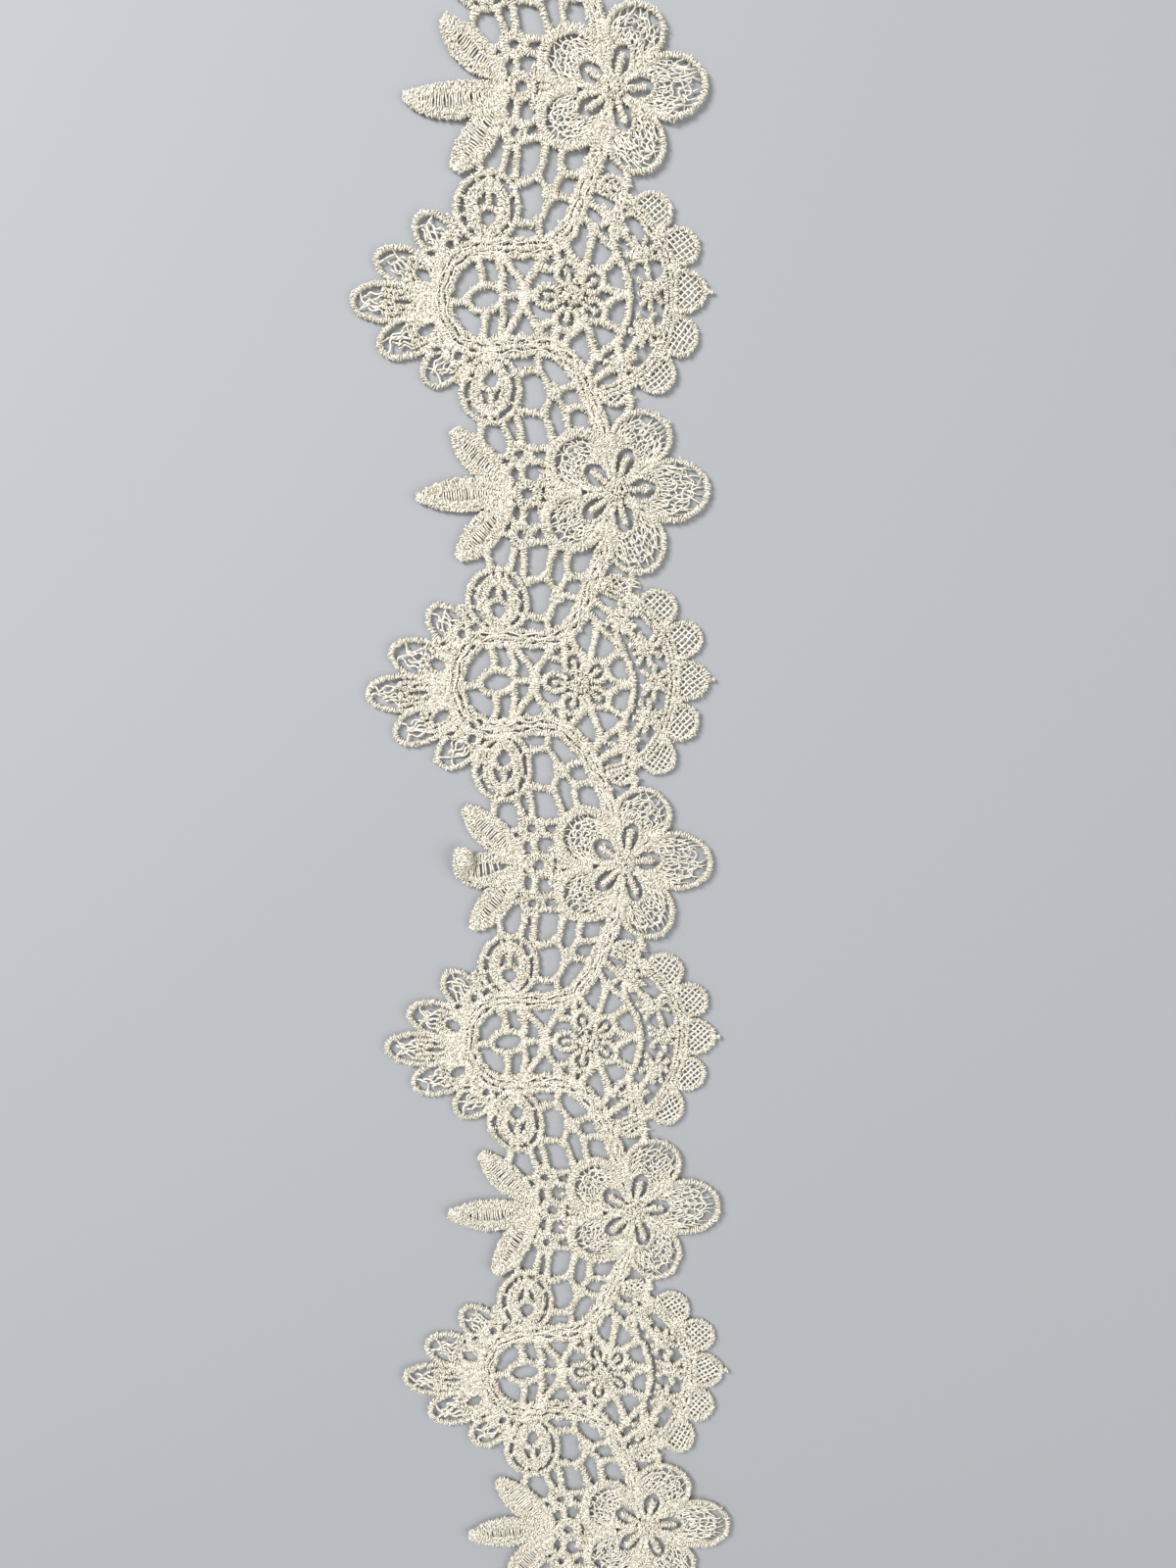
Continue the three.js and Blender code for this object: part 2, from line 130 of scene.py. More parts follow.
def yarn(name, light, dark, painted_shade, roughness, sheen):
    """A thread material that drifts between two colours, with specks of painted shade in a third and fibres
    as bump.
    """
    material = bpy.data.materials.new(name)
    material.use_nodes = True
    nodes, links = material.node_tree.nodes, material.node_tree.links
    shader = nodes["Principled BSDF"]
    fibre_and_shade_node = nodes.new("ShaderNodeGroup")
    fibre_and_shade_node.node_tree = yarn_group
    for noise_name, (_, scale) in YARN_NOISES.items():
        fibre_and_shade_node.inputs[noise_name + " Scale"].default_value = scale
    tint = nodes.new("ShaderNodeMix")
    tint.data_type = "RGBA"
    tint.inputs["A"].default_value = (*dark, 1.0)
    tint.inputs["B"].default_value = (*light, 1.0)
    links.new(fibre_and_shade_node.outputs["Drift"], tint.inputs["Factor"])
    # the specks are painted shade: tan spots that stand for the shadow between the stitches
    share = nodes.new("ShaderNodeMapRange")
    share.interpolation_type = "SMOOTHSTEP"
    share.inputs["From Min"].default_value = SHADE_SPECK_FROM
    share.inputs["From Max"].default_value = SHADE_SPECK_TO
    links.new(fibre_and_shade_node.outputs["Shade Speck"], share.inputs["Value"])
    shaded_tint = nodes.new("ShaderNodeMix")
    shaded_tint.data_type = "RGBA"
    shaded_tint.inputs["B"].default_value = (*painted_shade, 1.0)
    links.new(share.outputs["Result"], shaded_tint.inputs["Factor"])
    links.new(tint.outputs["Result"], shaded_tint.inputs["A"])
    links.new(shaded_tint.outputs["Result"], shader.inputs["Base Color"])
    gloss = nodes.new("ShaderNodeMapRange")
    gloss.inputs["To Min"].default_value = roughness - SMOOTHER
    gloss.inputs["To Max"].default_value = roughness + ROUGHER
    links.new(fibre_and_shade_node.outputs["Fibre"], gloss.inputs["Value"])
    links.new(gloss.outputs["Result"], shader.inputs["Roughness"])
    bump = nodes.new("ShaderNodeBump")
    bump.inputs["Strength"].default_value = FIBRE_BUMP
    bump.inputs["Distance"].default_value = FIBRE_DEPTH
    links.new(fibre_and_shade_node.outputs["Fibre"], bump.inputs["Height"])
    links.new(bump.outputs["Normal"], shader.inputs["Normal"])
    shader.inputs["Sheen Weight"].default_value = sheen
    shader.inputs["Sheen Roughness"].default_value = SHEEN_ROUGHNESS
    shader.inputs["Sheen Tint"].default_value = SHEEN_TINT
    return material


stitch_yarn = yarn("cream_stitch_yarn", *STITCH_LOOK)
# the padding yarn paints the shade that the padding lies in beneath the stitches
shaded_padding_yarn = yarn("shaded_cream_padding_yarn", *SHADED_PADDING_LOOK)
print("yarns:", stitch_yarn.name, shaded_padding_yarn.name)

# %% [markdown]
# ## Chart
# The chart is drawn in millimetres, as a lace designer draws it: x runs across the trim from the line
# through the flowers' hearts, + towards the scallops, and y along it from a motif's own axis. Most motifs
# are mirrored about that axis, so a row off it gets a twin. A cord's line is an oval, or a smooth curve
# through a few points. A motif collects cords, each with its width, and fine threads with their thickness.

# %% Lines of the chart
REPEAT = 69.0
FLOWERS = 5
HALF_REPEAT = REPEAT / 2
ON_AXIS = 180
FULL_TURN = 2 * math.pi
TINY = 1e-9
SEED = 69
rng = np.random.default_rng(SEED)


def polar(middle, reach, turn):
    """The point at that reach from the middle, turned by that many degrees."""
    angle = np.radians(turn)
    return np.asarray(middle, float) + reach * np.array([np.cos(angle), np.sin(angle)])


def oval(middle, long, wide, turn=0.0, half_open=180.0, count=33):
    """An oval's line, or the part of it within half_open degrees of its outer end."""
    angle = np.radians(np.linspace(-half_open, half_open, count))
    tilt = np.radians(turn)
    across, along = long * np.cos(angle), wide * np.sin(angle)
    x = middle[0] + across * np.cos(tilt) - along * np.sin(tilt)
    y = middle[1] + across * np.sin(tilt) + along * np.cos(tilt)
    return np.c_[x, y]


def through(points, closed=False, fine=6):
    """A smooth line through the points, each span drawn in a few steps."""
    points = np.asarray(points, float)
    if len(points) == 2:
        return points
    if closed:
        points = np.vstack([points, points[:1]])
        before, after = points[-2], points[1]
    else:
        before, after = 2 * points[0] - points[1], 2 * points[-1] - points[-2]
    padded = np.vstack([before, points, after])
    share = np.linspace(0, 1, fine, endpoint=False)[:, None]
    spans = [
        b + share * ((c - a) + share * ((2 * a - 5 * b + 4 * c - d) + share * (3 * b - a - 3 * c + d))) / 2
        for a, b, c, d in zip(padded, padded[1:], padded[2:], padded[3:])
    ]
    return np.vstack([*spans, points[-1:]])


def beside(line, offset):
    """The line moved sideways, to the left of its direction."""
    ahead = np.gradient(line[:, :2], axis=0)
    side = np.c_[-ahead[:, 1], ahead[:, 0]] / np.linalg.norm(ahead, axis=1)[:, None]
    moved = line.copy()
    moved[:, :2] += side * np.reshape(offset, (-1, 1))
    return moved


def lengths_of(line):
    """How far along the line each of its points is."""
    return np.r_[0.0, np.cumsum(np.linalg.norm(np.diff(line, axis=0), axis=1))]


def points_on(line, where):
    """Points at those lengths along a line, and the directions square to it there."""
    lengths = lengths_of(line)
    spots = np.stack([np.interp(where, lengths, axis) for axis in line.T], axis=1)
    ahead = np.gradient(line[:, :2], lengths, axis=0)
    ahead = np.stack([np.interp(where, lengths, axis) for axis in ahead.T], axis=1)
    ahead /= np.linalg.norm(ahead, axis=1)[:, None] + TINY
    return spots, np.c_[-ahead[:, 1], ahead[:, 0]]


def both_sides(rows):
    """Rows that start with a turn in degrees, with a twin for each one that isn't on the axis."""
    twins = [(-turn, *rest) for turn, *rest in rows if turn % ON_AXIS]
    return [*rows, *twins]


print("chart of", FLOWERS, "flowers, each", REPEAT, "mm from the next")

# %% [markdown]
# ### Motifs and dense places
# Where the real lace is dense, the needle went to and fro until the place was full, and no two stitches lie
# the same way. So a dense strip is filled with cords that swing from side to side, and a knot is one cord
# coiled up into a low dome.

# %% Motifs, dense strips and knots
DENSE_STEP = 0.95
DENSE_SWING = 0.3
DENSE_OVERLAP = 0.2
SWING_WAVE = 2.0
SWING_STEP = 0.45
SWING_STRAY = 0.3
KNOT_STEP = 0.75
KNOT_CORD = 1.0
KNOT_EDGE = 0.35
KNOT_START = 0.2
KNOT_POINTS = 12
BOBBLE, BOBBLE_CORD, BOBBLE_LIFT, BOBBLE_POINTS = 0.36, 0.85, 0.2, 9


def new_motif():
    """Two empty lists, for cords and for fine threads."""
    return {"cords": [], "threads": []}


def add_twin(motif):
    """Mirrors all the rows of a half motif about the axis."""
    flip = np.array([1.0, -1.0, 1.0])
    for rows in motif.values():
        rows += [(line * flip[: line.shape[1]], *rest) for line, *rest in rows]
    return motif


def swinging(line, swing, wave=SWING_WAVE):
    """The line with a chance swing from side to side."""
    length = lengths_of(line)[-1]
    where = np.linspace(0, length, max(4, int(length / SWING_STEP) + 1))
    spots, side = points_on(line, where)
    pace = rng.normal(FULL_TURN * SWING_STEP / wave, SWING_STRAY, len(where))
    spots[:, :2] += side * (swing * np.sin(rng.uniform(0, FULL_TURN) + np.cumsum(pace)))[:, None]
    return spots


def dense(motif, line, width_from, width_to):
    """Fills a strip along the line with swinging cords side by side."""
    width = np.linspace(width_from, width_to, len(line))
    count = max(1, round((width_from + width_to) / 2 / DENSE_STEP))
    for row in range(count):
        offset = ((row + 0.5) / count - 0.5) * width
        cord_width = (width_from / count + DENSE_OVERLAP, width_to / count + DENSE_OVERLAP)
        motif["cords"].append((swinging(beside(line, offset), DENSE_SWING), cord_width))


def knot(motif, x, y, radius, rise):
    """A cord coiled up into a low dome."""
    turns = (radius - KNOT_EDGE) / KNOT_STEP
    angle = np.linspace(0, FULL_TURN * turns, max(5, int(KNOT_POINTS * turns)))
    reach = KNOT_START + KNOT_STEP * angle / FULL_TURN
    angle += rng.uniform(0, FULL_TURN)
    dome = rise * np.sqrt(np.maximum(1 - (reach / radius) ** 2, 0))
    coil = np.c_[x + reach * np.cos(angle), y + reach * np.sin(angle), dome]
    motif["cords"].append((coil, KNOT_CORD))


def bobble(motif, spot):
    """The round end of a short bar: a ring so small that it closes."""
    ring = oval(spot, BOBBLE, BOBBLE, count=BOBBLE_POINTS)
    motif["cords"].append((np.c_[ring, np.full(len(ring), BOBBLE_LIFT)], BOBBLE_CORD))


print("dense places take a cord every", DENSE_STEP, "mm")

# %% [markdown]
# ## Flower
# Five round petals are outlined by satin cord. Around the heart stand five loops, each with a stamen. The
# web of a petal hangs between the two. Some of its threads are wavy horseshoes around the loop that widen
# towards the rim, others curl between them, and spokes tie the outermost horseshoe to the rim. A web is
# blended from two ovals with the same number of points.

# %% Web of a petal
FINE = 0.17
FINE_SPREAD = (0.9, 1.25)
# the share of the way from the loop to the rim at which each horseshoe lies
HORSESHOES = (0.02, 0.18, 0.35, 0.53, 0.72)
HORSESHOE_POINTS = 44
HORSESHOE_WAVE = 0.045
HORSESHOE_PACE = (1.4, 0.4)
# the share of the web that a curly thread follows, how far its curls reach from there, and their number
WEB_CURLS = ((0.18, 0.17, 16), (0.53, 0.2, 14))
CURL_POINTS = 7
CURL_REACH = 1.2
CURL_SIZES = (0.5, 1.35)
CURL_ENDS = (0.04, 0.96)
CURL_STRAY = 0.4
SPOKES = 20
SPOKE_FROM = 0.6
SPOKE_STRAY = 0.9
SPOKE_POINTS = 3


def web_point(inner, outer, where, share):
    """Points between two lines: where along them, and at which share of the way across."""
    steps = np.arange(len(inner))
    near = np.stack([np.interp(where, steps, axis) for axis in inner.T], axis=1)
    far = np.stack([np.interp(where, steps, axis) for axis in outer.T], axis=1)
    return near + (far - near) * np.reshape(share, (-1, 1))


def web(motif, inner, outer):
    """Wavy threads along two lines, threads that curl between them, and spokes at the outer one."""
    last = len(inner) - 1
    for share in HORSESHOES:
        where = np.linspace(0, last, HORSESHOE_POINTS)
        phase = rng.uniform(0, FULL_TURN) + np.cumsum(rng.normal(*HORSESHOE_PACE, HORSESHOE_POINTS))
        shares = share + HORSESHOE_WAVE * np.sin(phase)
        motif["threads"].append((web_point(inner, outer, where, shares), FINE * rng.uniform(*FINE_SPREAD)))
    for share, wide, curls in WEB_CURLS:
        count = curls * CURL_POINTS
        angle = np.linspace(0, FULL_TURN * curls, count) + rng.uniform(0, FULL_TURN)
        size = np.repeat(rng.uniform(*CURL_SIZES, curls), CURL_POINTS)
        stray = np.repeat(rng.normal(0, CURL_STRAY, curls), CURL_POINTS)
        middle = np.linspace(*CURL_ENDS, count) * last + stray
        where = middle + CURL_REACH * size * np.sin(angle)
        shares = share + wide * size * np.cos(angle)
        thread = web_point(inner, outer, where.clip(0, last), shares.clip(0, 1))
        motif["threads"].append((thread, FINE))
    for middle in (np.arange(SPOKES) + 0.5) * last / SPOKES:
        where = middle + rng.normal(0, SPOKE_STRAY, SPOKE_POINTS)
        spoke = web_point(inner, outer, where.clip(0, last), np.linspace(SPOKE_FROM, 1, SPOKE_POINTS))
        motif["threads"].append((spoke, FINE))


print("a web of", len(HORSESHOES), "horseshoes,", len(WEB_CURLS), "curly threads and", SPOKES, "spokes")

# %% Petals, loops and heart
CORD = 1.25
HEART = (0.0, 0.0)
HEART_KNOT, HEART_RISE = 2.4, 0.7
# turn, reach, half length and half width of each petal, and the cords side by side in its rim
PETALS = ((0, 10.5, 6.5, 6.0, 1), (66, 9.9, 5.6, 5.6, 1), (145, 9.2, 5.3, 5.3, 2))
RIM_OPEN = 136
RIM_STEP = 0.75
RIM_LIFT = 0.2
WEB_OPEN = 152
WEB_POINTS = 41
WEB_FROM_LOOP = 0.4
WEB_FROM_RIM = CORD * 0.7
LOOPS = 5
LOOP_REACH, LOOP_LONG, LOOP_WIDE, LOOP_CORD, LOOP_OPEN = 4.9, 2.95, 2.1, 1.0, 156
STAMEN_FROM, STAMEN_TO, STAMEN_WIDTH, STAMEN_LIFTS = 1.5, 5.7, (1.3, 1.5), (0.3, 0.15)
# dense wedges between the loops, with the reach of each one's end, and the cleft on the leaves' side
WEDGE_FROM, WEDGE_WIDTH = 2.0, (1.4, 2.2)
WEDGE_ENDS = (7.6, 7.6, 5.6, 7.6, 7.6)
CLEFT_FROM, CLEFT_TO, CLEFT_WIDTH = 8.0, 12.9, (2.0, 4.4)
STRIP_POINTS = 7


def flower_motif(lean):
    """One flower, turned about its heart by a few degrees."""
    motif = new_motif()
    for turn, reach, long, wide, rims in both_sides(PETALS):
        middle = polar(HEART, reach, turn + lean)
        for row in range(rims):
            inset = CORD / 2 - row * RIM_STEP
            rim = oval(middle, long - inset, wide - inset, turn + lean, RIM_OPEN)
            motif["cords"].append((np.c_[rim, np.full(len(rim), RIM_LIFT)], CORD))
        loop_turn = 360 / LOOPS * round(turn * LOOPS / 360) + lean
        foot = polar(HEART, LOOP_REACH, loop_turn)
        inner_size = LOOP_LONG + WEB_FROM_LOOP, LOOP_WIDE + WEB_FROM_LOOP
        outer_size = long - WEB_FROM_RIM, wide - WEB_FROM_RIM
        inner = oval(foot, *inner_size, loop_turn, WEB_OPEN, WEB_POINTS)
        outer = oval(middle, *outer_size, turn + lean, WEB_OPEN, WEB_POINTS)
        web(motif, inner, outer)
    for loop in range(LOOPS):
        turn = 360 / LOOPS * loop + lean
        foot = polar(HEART, LOOP_REACH, turn)
        motif["cords"].append((oval(foot, LOOP_LONG, LOOP_WIDE, turn, LOOP_OPEN), LOOP_CORD))
        tip = polar(HEART, STAMEN_TO, turn)
        stamen = np.c_[[polar(HEART, STAMEN_FROM, turn), tip], STAMEN_LIFTS]
        motif["cords"].append((stamen, STAMEN_WIDTH))
        bobble(motif, tip)
        between = turn + 180 / LOOPS
        wedge_ends = polar(HEART, WEDGE_FROM, between), polar(HEART, WEDGE_ENDS[loop], between)
        dense(motif, np.linspace(*wedge_ends, STRIP_POINTS), *WEDGE_WIDTH)
    cleft_ends = polar(HEART, CLEFT_FROM, 180 + lean), polar(HEART, CLEFT_TO, 180 + lean)
    dense(motif, np.linspace(*cleft_ends, STRIP_POINTS), *CLEFT_WIDTH)
    knot(motif, *HEART, HEART_KNOT, HEART_RISE)
    return motif


print("a flower of", len(both_sides(PETALS)), "petals and", LOOPS, "loops")

# %% [markdown]
# ## Leaves
# Three leaves stand on the other side of the flower. Rows of satin stitches border each edge, and loose
# threads cross the hollow between the borders like the rungs of a ladder. A leaf is charted as sections
# along its rib, each with a height and a half width, so that one leaf of the third flower can fold its tip
# up over itself.

# %% Leaves
# how far each row of a border lies from the leaf's edge
LEAF_ROWS = (0.5, 1.15, 1.8)
LEAF_CORD = 1.05
LEAF_SWING = 0.12
LEAF_SECTIONS = 9
LEAF_FINE = 8
LEAF_END = 0.95
LEAF_SKEW = 1.15
LEAF_FULLNESS = 0.9
LEAST_HALF = 0.1
BORDER_LIFT = 0.15
RIB_LIFT = 0.1
RUNG = 0.2
RUNG_STEP = 0.48
RUNGS_FROM, RUNGS_TO = 0.2, 0.84
RUNG_STRAY = 0.35
RUNG_ENDS, RUNG_MIDDLE, RUNG_SAG = 0.7, 0.85, 0.08
# foot, tip and half width of each leaf, and the bow of its rib
MIDDLE_LEAF = ((-18.0, 0.0), (-36.8, 0.0), 3.15)
UPPER_LEAF = ((-18.7, 1.3), (-29.3, 11.5), 3.15, (-0.3, -0.3))
LOWER_LEAF = ((-18.7, -1.3), (-29.3, -11.5), 3.15, (-0.3, 0.3))
# how the leaves of each flower lie: the bow of the middle one, and the shift of the lower one's tip
LEAF_BOWS = (-1.1, 0.2, 0.0, -0.9, 0.0)
TIP_SHIFTS = ((1.3, -1.2), (0.0, 0.0), (0.0, 0.0), (1.0, -1.1), (0.0, 0.0))
FOLDED_FLOWER = 2
FOLDED_LEAF = (
    (-18.0, 0.0, 0.0, 0.9),
    (-22.5, 0.0, 0.0, 2.8),
    (-27.0, -0.4, 0.0, 3.3),
    (-29.4, -0.3, 0.2, 2.6),
    (-30.3, 0.6, 1.2, 2.0),
    (-30.2, 2.6, 1.6, 2.0),
    (-30.0, 4.2, 1.4, 1.3),
)


def leaf_sections(base, tip, half, bow):
    """A flat leaf's sections: the rib's points, then the half width there."""
    share = np.linspace(0, 1, LEAF_SECTIONS)
    rib = np.outer(1 - share, base) + np.outer(share, tip) + np.outer(np.sin(np.pi * share), bow)
    swell = LEAF_END + (half - LEAF_END) * np.sin(np.pi * share**LEAF_SKEW) ** LEAF_FULLNESS
    return np.c_[rib, np.zeros(LEAF_SECTIONS), swell]


def leaf(motif, sections):
    """Borders of satin cord along both edges, and the threads between them."""
    sections = through(sections, fine=LEAF_FINE)
    rib, half = sections[:, :3], sections[:, 3]
    inner = []
    for hand in (-1, 1):
        for row in LEAF_ROWS:
            edge = beside(rib, hand * np.maximum(half - row, LEAST_HALF))
            edge[:, 2] += BORDER_LIFT
            motif["cords"].append((swinging(edge, LEAF_SWING), LEAF_CORD))
        inner.append(edge)
    inner.insert(1, rib + [0, 0, RIB_LIFT])
    length = lengths_of(rib)[-1]
    steps = np.arange(len(rib))
    for row in np.arange(RUNGS_FROM, RUNGS_TO, RUNG_STEP / length):
        where = row * (len(rib) - 1) + rng.normal(0, RUNG_STRAY, len(inner))
        rung = [[np.interp(at, steps, axis) for axis in line.T] for at, line in zip(where, inner)]
        rung = np.array(rung)
        rung[:, 2] += [RUNG_ENDS, RUNG_MIDDLE + rng.normal(0, RUNG_SAG), RUNG_ENDS]
        motif["threads"].append((rung, RUNG))


print("the middle leaf is", round(math.dist(*MIDDLE_LEAF[:2]), 1), "mm long")

# %% [markdown]
# Three thick rings tie the leaves' feet to the flower. Each is two cords side by side around a small hole.
# Bars join the rings to each other and to the flower. A bar widens towards both ends, where its stitches
# run into those of its neighbours, so it has five widths, spread evenly along it.

# %% The rings at the leaves' foot
FOOT_RINGS = ((-16.0, 0.0, 1.5), (-17.4, 7.2, 1.3), (-17.4, -7.2, 1.3))
RING_STEP = 0.75
RING_CORD = 1.15
FOOT_BARS = (
    ((-14.3, 1.8), (-10.6, 2.2)),
    ((-16.6, 2.2), (-17.1, 5.4)),
    ((-15.4, 6.3), (-12.2, 5.3)),
    ((-15.9, 8.4), (-11.8, 8.6)),
    ((-19.2, 7.0), (-21.6, 6.4)),
    ((-18.6, 5.2), (-19.6, 3.4)),
)
BAR = (2.1, 1.5, 1.4, 1.5, 2.1)
FOOT_KNOTS = ((-13.3, 3.3, 1.3), (-19.6, 4.4, 1.0))
FOOT_RISE = 0.2


def leafy_foot(number):
    """The leaves of one flower, and the rings and bars at their foot."""
    motif = new_motif()
    motif["cords"] += [(through(bar), BAR) for bar in FOOT_BARS]
    for x, y, radius in FOOT_KNOTS:
        knot(motif, x, y, radius, FOOT_RISE)
    add_twin(motif)
    for x, y, radius in FOOT_RINGS:
        for reach in (radius, radius + RING_STEP):
            motif["cords"].append((oval((x, y), reach, reach), RING_CORD))
    if number == FOLDED_FLOWER:
        leaf(motif, np.array(FOLDED_LEAF))
    else:
        leaf(motif, leaf_sections(*MIDDLE_LEAF, (0.0, LEAF_BOWS[number])))
    leaf(motif, leaf_sections(*UPPER_LEAF))
    base, tip, half, bow = LOWER_LEAF
    leaf(motif, leaf_sections(base, np.add(tip, TIP_SHIFTS[number]), half, bow))
    return motif


print(len(FOOT_RINGS), "rings and", 2 * len(FOOT_BARS), "bars at the leaves' foot")

# %% [markdown]
# ## Net
# On each side of the flower a net of bars fills the bend of a broad band, and a medallion with a bud in it
# hangs in the net. The band is a ribbon of cords side by side. Long threads run with it, now above the
# cords and now between them.

# %% Band and bars
BAND_LINE = ((-1.2, 6.0), (-2.9, 12.4), (-5.2, 18.2), (-7.9, 22.8), (-12.4, 25.7), (-24.0, 26.1))
BAND_ROWS = (-1.25, 0.0, 1.25)
BAND_SPREAD = (0.8, 1.15)
BAND_CORD = 1.3
BAND_SWING, BAND_WAVE = 0.3, 2.4
BAND_STREAKS = (-0.8, 0.1, 0.9)
STREAK, STREAK_SWING, STREAK_WAVE, STREAK_HEIGHT, STREAK_SKIP = 0.18, 0.35, 4.5, 0.84, 3
THREAD_STRAY = 0.12
THREAD_FINE = 2
NET_BARS = (
    ((-11.4, 9.2), (-12.2, 12.0), (-13.4, 14.4), (-17.8, 15.2)),
    ((-13.4, 14.4), (-11.2, 17.8)),
    ((-8.3, 9.6), (-8.8, 14.6), (-4.2, 14.9)),
    ((-8.8, 14.6), (-11.2, 17.8)),
    ((-11.2, 17.8), (-6.4, 19.2)),
    ((-11.2, 17.8), (-13.8, 21.6), (-17.4, 21.5)),
    ((-13.8, 21.6), (-13.4, 24.2)),
    ((-17.2, 9.2), (-17.4, 12.0), (-18.0, 14.5)),
    ((-18.8, 9.2), (-20.4, 13.1)),
    ((-24.4, 8.6), (-23.8, 12.8)),
)
NET_KNOTS = ((-11.2, 17.8, 1.7), (-13.4, 14.4, 1.0), (-8.8, 14.6, 1.0), (-13.8, 21.6, 1.0))
NET_RISE = 0.25


def ribbon(motif, line, spread):
    """Swinging cords side by side, and long threads that run with them."""
    spread = np.linspace(*spread, len(line))
    for row in BAND_ROWS:
        cord = swinging(beside(line, row * spread), BAND_SWING, BAND_WAVE)
        motif["cords"].append((cord, BAND_CORD))
    for lane in BAND_STREAKS:
        streak = swinging(beside(line, lane * spread), STREAK_SWING, STREAK_WAVE)[::STREAK_SKIP]
        streak = np.c_[streak, rng.normal(STREAK_HEIGHT, THREAD_STRAY, len(streak))]
        motif["threads"].append((through(streak, fine=THREAD_FINE), STREAK))


def net_motif():
    """The two bends of the band beside a flower, and the bars in them."""
    motif = new_motif()
    ribbon(motif, through(BAND_LINE), BAND_SPREAD)
    motif["cords"] += [(through(bar), BAR) for bar in NET_BARS]
    for x, y, radius in NET_KNOTS:
        knot(motif, x, y, radius, NET_RISE)
    return add_twin(motif)


print("a net of", 2 * len(NET_BARS), "bars around each flower")

# %% Medallions
MEDALLION = (-22.5, 18.9)
MEDALLION_SIZE = (5.15, 6.1)
BUD = (
    (-22.4, 24.3),
    (-25.0, 22.0),
    (-25.9, 18.6),
    (-24.9, 15.6),
    (-22.5, 14.3),
    (-20.2, 15.6),
    (-19.1, 18.6),
    (-19.8, 22.0),
)
BUD_ROWS = (0.0, 0.65, 1.25)
BUD_CORD = 1.0
BUD_SWING = 0.1
BUD_LINES = (
    ((-24.6, 20.9), (-23.8, 19.4), (-22.4, 18.7), (-21.1, 19.4), (-20.3, 20.9)),
    ((-22.4, 12.8), (-22.4, 18.4)),
)
BUD_WIDTH = 1.35
# the turns at which short ties hold the bud in its ring
TIES = (30, 75, 120, 160, 205, 250, 290, 335)
TIE_FROM, TIE_TO, TIE_CORD, TIE_STRAY, TIE_POINTS = 3.4, 5.4, 0.85, 7, 3


def medallion_motif():
    """The two medallions beside a flower, each a ring with a bud tied into it."""
    motif = new_motif()
    motif["cords"].append((oval(MEDALLION, *MEDALLION_SIZE), CORD))
    bud = through(BUD, closed=True)
    motif["cords"] += [(swinging(beside(bud, inset), BUD_SWING), BUD_CORD) for inset in BUD_ROWS]
    motif["cords"] += [(through(line), BUD_WIDTH) for line in BUD_LINES]
    for turn in TIES:
        near, far = turn + rng.normal(0, TIE_STRAY, 2)
        tie_ends = polar(MEDALLION, TIE_FROM, near), polar(MEDALLION, TIE_TO, far)
        motif["cords"].append((np.linspace(*tie_ends, TIE_POINTS), TIE_CORD))
    return add_twin(motif)


print("medallions of", 2 * MEDALLION_SIZE[0], "by", 2 * MEDALLION_SIZE[1], "mm")

# %% [markdown]
# ## Fan
# Between two flowers the band bends round a hollow, and five lobes spread from it. Each lobe is outlined by
# cord, and curly threads cross the window near its end. Cords close together fill the lobes' feet and the
# places between them, apart from seven slots, where the needle left the cloth bare. The cords that would
# cross a slot are cut there, and a thin cord of its own edges the slot.

# %% Lobes and slots
FAN = (-20.5, 0.0)
# turn, reach, half length and half width of each lobe, and the reach of its window
LOBES = ((180, 20.1, 6.7, 3.9, 23.2), (159.5, 17.9, 5.8, 3.8, 19.9), (133.5, 15.3, 5.0, 3.6, 16.8))
LOBE_OPEN = 150
LOBE_FOOT, LOBE_FOOT_WIDTH, LOBE_FOOT_POINTS = 11.0, 3.6, 9
# turn and reach of each slot, its half length and half width, and how far it leans from the lobe
SLOTS = (
    (180, 17.3, 1.9, 0.4, 0),
    (160.5, 14.2, 1.7, 0.95, -14),
    (131, 12.3, 0.9, 0.7, 0),
    (145, 14.3, 0.8, 0.4, 30),
)
SLOT_EDGE = 0.35
SLOT_CORD = 0.8
WINDOW = 2.5
PANE_THREAD = 0.22
PANE_REACH = 2.75
HUB_STRAY = 0.5
PANE_ARMS = (38, -48, 170)
ARM_STRAY, ARM_BEND, ARM_FINE = 18, 0.4, 3
PANE_LANES = (-1.7, -0.8, 0.2, 1.2, 2.0)
LANE_ENDS = (-0.4, 1.2)
PANE_SWING, PANE_WAVE = 0.32, 2.5


def directions(turn):
    """The direction at that turn, and the one square to it."""
    return polar((0, 0), 1, turn), polar((0, 0), 1, turn + 90)


def clear_of(line, slots):
    """The runs of a line that lie outside all the slots."""
    inside = np.zeros(len(line), bool)
    for middle, long, wide, turn in slots:
        off = (line[:, :2] - middle) @ np.stack(directions(turn), axis=1)
        inside |= ((off / [long + SLOT_EDGE, wide + SLOT_EDGE]) ** 2).sum(axis=1) < 1
    cuts = np.flatnonzero(np.diff(inside)) + 1
    runs = np.split(np.arange(len(line)), cuts)
    return [line[run] for run in runs if len(run) > 2 and not inside[run[0]]]


